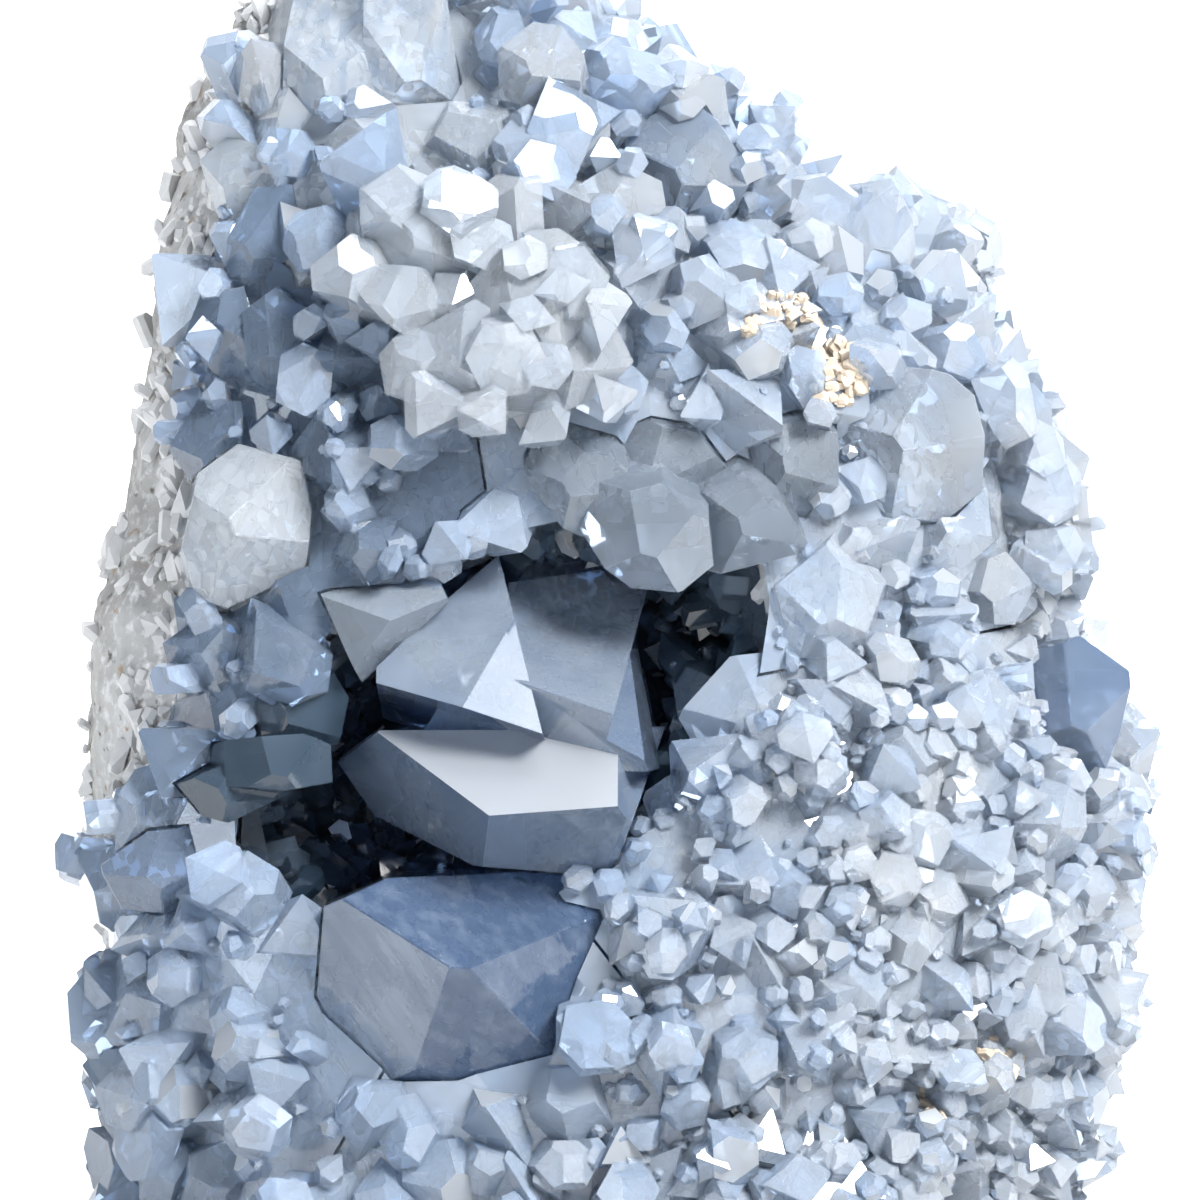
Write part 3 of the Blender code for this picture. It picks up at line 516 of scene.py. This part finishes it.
def rock_skin():
    """The rock with lumps, grains and upright fibres where it is bare."""
    copy = bpy.data.objects.new("rock_source", nodes["matrix"].data.copy())
    bpy.context.scene.collection.objects.link(copy)
    remesh = copy.modifiers.new("remesh", "REMESH")
    remesh.mode = "VOXEL"
    remesh.voxel_size = ROCK_VOXEL
    mesh = bpy.data.meshes.new_from_object(copy.evaluated_get(bpy.context.evaluated_depsgraph_get()))
    bpy.data.objects.remove(copy)
    points, normals = [v.co.copy() for v in mesh.vertices], [v.normal.copy() for v in mesh.vertices]
    faces = [tuple(p.vertices) for p in mesh.polygons]
    moved = []
    for point, normal in zip(points, normals):
        if point.z < FOOT:
            moved.append((point.x, point.y, 0.0))
            continue
        near = crystal_tree.find_nearest(point)[3]
        bare = min(1.0, max(0.0, (near - COVERED) / (UNCOVERED - COVERED)))
        lump = noise.fractal(point / LUMP, 1.0, 2.0, 3) * LUMP_RISE
        fibre = noise.noise(Vector((point.x / FIBRE, point.y / FIBRE, point.z / FIBRE_LONG))) * FIBRE_RISE
        grain = noise.fractal(point / GRAIN, 0.8, 2.0, 2) * GRAIN_RISE
        rise = (lump + fibre + grain) * bare * min(1.0, point.z / (3 * MM)) - SINK * bare
        moved.append(tuple(point + normal * rise * MM))
    piece = link("geode_rock", moved, faces, ROCK_LOOK, ["matrix"])
    for polygon in piece.data.polygons:
        polygon.use_smooth = True


rock_skin()

# ---- the crystals

EDGE = 0.12 * MM  # the bevel along the crystals' edges
SHARP = math.radians(20)  # edges that are sharper than this are bevelled

# Facets of the large crystals that face the light, frosted and given a painted highlight: node, the way that
# they face, how closely, and the highest
SUNLIT = {
    "centre_crystals": (Vector((0.0, -0.62, 0.78)), 0.95, 0.049),
    "window_crystal": (Vector((0.4, -0.7, 0.6)), 0.85, 1.0),
}
# Paler parts of the large crystals: node, (least x, most x, least z, most z), and how much
PALER = (
    ("centre_crystals", (-0.040, -0.0180, 0.0520, 0.080), 0.95),
    ("centre_crystals", (-0.0180, 0.010, 0.0545, 0.080), 0.40),
    ("lower_crystal", (-0.040, -0.0175, 0.0, 0.060), 0.40),
    ("lower_crystal", (-0.0175, 0.010, 0.0, 0.060), -0.20),
    ("shoulder_crystal", (-1, 1, 0, 1), 0.35),
    ("column_crystals", (-1, 1, 0, 1), 0.25),
    ("window_crystal", (-1, 1, 0, 1), 0.10),
)


def paleness(name, point):
    """How much paler a facet of the node is here; on the druse, painted light on the right and painted shade
    in the upper left.
    """
    inside = 0.0
    for node, (left, right, low, high), share in PALER:
        if name == node and left < point.x < right and low < point.z < high:
            inside += share
    return inside if name not in DRUSE else painted_light_and_shade(point)


def faceted_copy(name, look):
    """The node's own shape with fine bevelled edges and some frosted facets, whose whiteness is a painted
    highlight where they face the light.
    """
    mesh = welded([name])
    bmesh.ops.dissolve_limit(mesh, angle_limit=FLAT, verts=mesh.verts, edges=mesh.edges)
    facing, closeness, highest = SUNLIT.get(name, (Vector((0, 0, 1)), 2, 0))
    facing = facing.normalized()
    chance = FROST_AND_GLINT_SHARE if name in DRUSE else 0.0
    tint, frost_and_glint = mesh.faces.layers.float.new("tint"), mesh.faces.layers.float.new("frost_and_glint")
    for face in mesh.faces:
        middle = face.calc_center_median()
        face[tint] = paleness(name, middle) + dice.uniform(-FACET, FACET)
        # facets that face the light get a painted highlight; small druse facets get a random painted glint
        sunlit = face.normal.dot(facing) > closeness and middle.z < highest
        face[frost_and_glint] = float(sunlit or face.calc_area() < LARGE_FACET and dice.random() < chance)
    sharp = [edge for edge in mesh.edges if len(edge.link_faces) == 2 and edge.calc_face_angle(0) > SHARP]
    bmesh.ops.bevel(mesh, geom=sharp, offset=EDGE, segments=1, affect="EDGES", clamp_overlap=True)
    made = bpy.data.meshes.new(name + "_faces")
    mesh.to_mesh(made)
    mesh.free()
    made.materials.append(look)
    piece = bpy.data.objects.new(name + "_faces", made)
    bpy.context.scene.collection.objects.link(piece)
    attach(piece, "root")
    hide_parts(name)


LOOKS = {
    "centre_crystals": DEEP_LOOK, "lower_crystal": SMOKY_LOOK, "left_blue_crystal": DEEP_LOOK,
    "corner_crystal": DEEP_LOOK, "brow_cluster": BRIGHT_LOOK, "roof_cluster": GREY_LOOK,
    "window_crystal": BRIGHT_LOOK, "column_crystals": COLUMN_LOOK, "left_druse": SHADE_LOOK,
    "crown_druse": BRIGHT_LOOK,
}
for name in CLEAR:
    faceted_copy(name, LOOKS.get(name, CLEAR_LOOK))
for name in DRUSE:
    faceted_copy(name, LOOKS.get(name, DRUSE_LOOK))
# painted shade: the hollow's crust and crystals get the dark material
for name in DARK:
    nodes[name].data.materials.clear()
    nodes[name].data.materials.append(CAVE_SHADE_LOOK)

# Crystals between those of the solids. Each level: name, spacing, tries, widths, radius in which tips count,
# least room under the tips, the shares of scatter(), and how many widths they stay off the large crystals.
LEVELS = (
    ("druse_medium_crystals", 4.6, 12000, (4.2, 7.5), 9, 1.6, (0.7, 0.8), 0.42),
    ("druse_small_crystals", 2.4, 30000, (2.2, 4.2), 8, 1.8, (0.9, 0.24), 0.12),
    ("druse_fine_crystals", 1.15, 60000, (0.9, 1.9), 6, 3.0, (0.4, 0.08), 0.0),
)
for name, spacing, tries, width, radius, room, shares, aside in LEVELS:
    width = (width[0] * MM, width[1] * MM)
    growth = scatter(DRUSE, spacing * MM, tries, width, radius * MM, room * MM, shares, aside)
    growth.piece(name, DRUSE_LOOK, "druse_celestite")
growth = scatter(["brow_cluster"], 4.4 * MM, 6000, (4.0 * MM, 7.0 * MM), 9 * MM, 1.6 * MM, (1.0, 1.0), -1.0)
growth.piece("brow_small_crystals", BRIGHT_LOOK, "clear_celestite")


def crust_crystals():
    """Crystals on the crust, towards the hollow, dark with painted shade."""
    growth = Growth()
    low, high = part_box("cavity_crust")
    middle = (low + high) / 2
    for point, normal, _ in surface_points(["cavity_crust"], 2.0 * MM, 12000):
        inward = (middle - point).normalized()
        if normal.dot(inward) < 0.1 or point.y < low.y + 0.3 * MM:
            continue
        if every_tree.ray_cast(point + normal * LIFT, normal, CRUST_FREE)[0] is not None:
            continue
        wide = dice.uniform(1.6, 4.2) * MM
        toward = normal + 0.5 * wander()
        growth.add(point, toward, wide, wide * dice.uniform(0.5, 0.9), dice.uniform(-0.3, 0.5))
    return growth


crust_crystals().piece("crust_fine_crystals", CAVE_SHADE_LOOK, "dark_celestite")


def rind_grains():
    """Greyish grains where the crystal layer thins out over the rock."""
    growth = Growth()
    for point, normal, _ in surface_points(["matrix"], 1.25 * MM, 60000):
        near = crystal_tree.find_nearest(point)[3]
        if point.z < 0.8 * MM or not 0.35 * MM < near or normal.y > 0.5:
            continue
        share = 1 - near / (9 * MM)
        if dice.random() > max(0.12 if normal.y < 0 else 0.0, share):
            continue
        wide = dice.uniform(0.8, 2.4) * MM
        along = Vector((0, 0, dice.choice((-1, 1)) * dice.uniform(0.3, 1.6)))
        toward = 0.6 * normal + along + 0.4 * wander()
        growth.add(point, toward, wide, wide * dice.uniform(0.5, 1.3), dice.uniform(-0.4, 0.4))
    return growth


rind_grains().piece("rind_grains", RIND_LOOK, "geode_rock")

# Tan mineral between the crystals: pixel of the photograph, and radius in millimetres
TAN_PATCHES = ((780, 330, 4.0), (840, 375, 3.2), (1000, 1060, 2.0), (940, 1100, 2.0))


def tan_grains():
    growth = Growth()
    for px, py, radius in TAN_PATCHES:
        for _ in range(int(26 * radius)):
            turn, out = dice.uniform(0, 2 * math.pi), radius * math.sqrt(dice.random())
            point, normal = at_pixel(px + 10 * out * math.cos(turn), py + 10 * out * math.sin(turn))
            if point is None or large_tree.find_nearest(point)[3] < 0.2 * MM:
                continue
            wide = dice.uniform(0.7, 1.7) * MM
            toward = normal + 0.7 * wander()
            growth.add(point, toward, wide, wide * dice.uniform(0.3, 0.6))
    return growth


tan_grains().piece("tan_grains", TAN_LOOK, "geode_rock")

# ---- floor, light, camera


BEND = 0.75  # metres, where the floor begins to curve up and the radius of the curve
SHEET_WIDE, SHEET_FRONT, SHEET_TOP = 3.6, -2.7, 3.6
WHITE_FROM, WHITE_TO = 0.02, 0.20  # metres of depth, over which the sheet turns white


def stage_sheet():
    """A pale floor that curves up into a backdrop, further away than any camera stands."""
    points, faces = [], []
    profile = [(SHEET_FRONT, 0.0), (BEND, 0.0)]
    for turn in np.linspace(0.15, math.pi / 2, 9):
        profile.append((BEND + BEND * math.sin(turn), BEND - BEND * math.cos(turn)))
    profile.append((2 * BEND, SHEET_TOP))
    for y, z in profile:
        points += [(-SHEET_WIDE, y, z), (SHEET_WIDE, y, z)]
    for k in range(len(profile) - 1):
        faces.append((2 * k, 2 * k + 1, 2 * k + 3, 2 * k + 2))
    mesh = bpy.data.meshes.new("backdrop")
    mesh.from_pydata(points, [], faces)
    made = Nodes("pale_paper")
    made.set(made.shader, "Base Color", (0.62, 0.62, 0.62, 1))
    made.set(made.shader, "Roughness", 0.9)
    made.set(made.shader, "Emission Color", (1, 1, 1, 1))
    depth = made.add("ShaderNodeSeparateXYZ", {0: made.place()}).outputs[1]
    made.set(made.shader, "Emission Strength", made.ramp(depth, WHITE_FROM, WHITE_TO))
    made.material.cycles.emission_sampling = "NONE"
    mesh.materials.append(made.material)
    sheet = bpy.data.objects.new("backdrop", mesh)
    bpy.context.scene.collection.objects.link(sheet)


def softbox(name, at, aim, size, power, colour):
    """A rectangular light at one point that faces another."""
    light = bpy.data.lights.new(name, "AREA")
    light.shape = "RECTANGLE"
    light.size, light.size_y = size
    light.energy = power
    light.color = colour
    lamp = bpy.data.objects.new(name, light)
    lamp.location = at
    lamp.rotation_euler = (Vector(aim) - Vector(at)).to_track_quat("-Z", "Y").to_euler()
    bpy.context.scene.collection.objects.link(lamp)


stage_sheet()
MIDDLE = (0.0, 0.0, 0.07)
softbox("key", (0.55, -0.66, 0.70), MIDDLE, (0.42, 0.42), 30.0, (1.0, 1.0, 1.0))
softbox("sky", (0.10, 0.05, 1.0), MIDDLE, (0.9, 0.6), 13.5, (0.95, 0.97, 1.0))
softbox("left", (-0.85, -0.65, 0.30), MIDDLE, (0.3, 0.6), 3.0, (0.85, 0.92, 1.0))

world = bpy.data.worlds.new("studio")
world.use_nodes = True
world.node_tree.nodes["Background"].inputs["Color"].default_value = (0.62, 0.68, 0.76, 1)
world.node_tree.nodes["Background"].inputs["Strength"].default_value = 0.25
world.cycles.sampling_method = "NONE"
bpy.context.scene.world = world
bpy.context.scene.view_settings.view_transform = "Standard"
cycles = bpy.context.scene.cycles
cycles.max_bounces = 7
cycles.transmission_bounces = 7
cycles.diffuse_bounces = 2
cycles.glossy_bounces = 3
cycles.use_light_tree = False
cycles.caustics_reflective = False
cycles.caustics_refractive = True

lens = bpy.data.cameras.new("camera")
lens.sensor_width = SENSOR
lens.lens = LENS
lens.clip_start = 0.01
camera = bpy.data.objects.new("camera", lens)
camera.location = CAMERA_AT
camera.rotation_euler = (math.pi / 2, 0, 0)
bpy.context.scene.collection.objects.link(camera)
bpy.context.scene.camera = camera
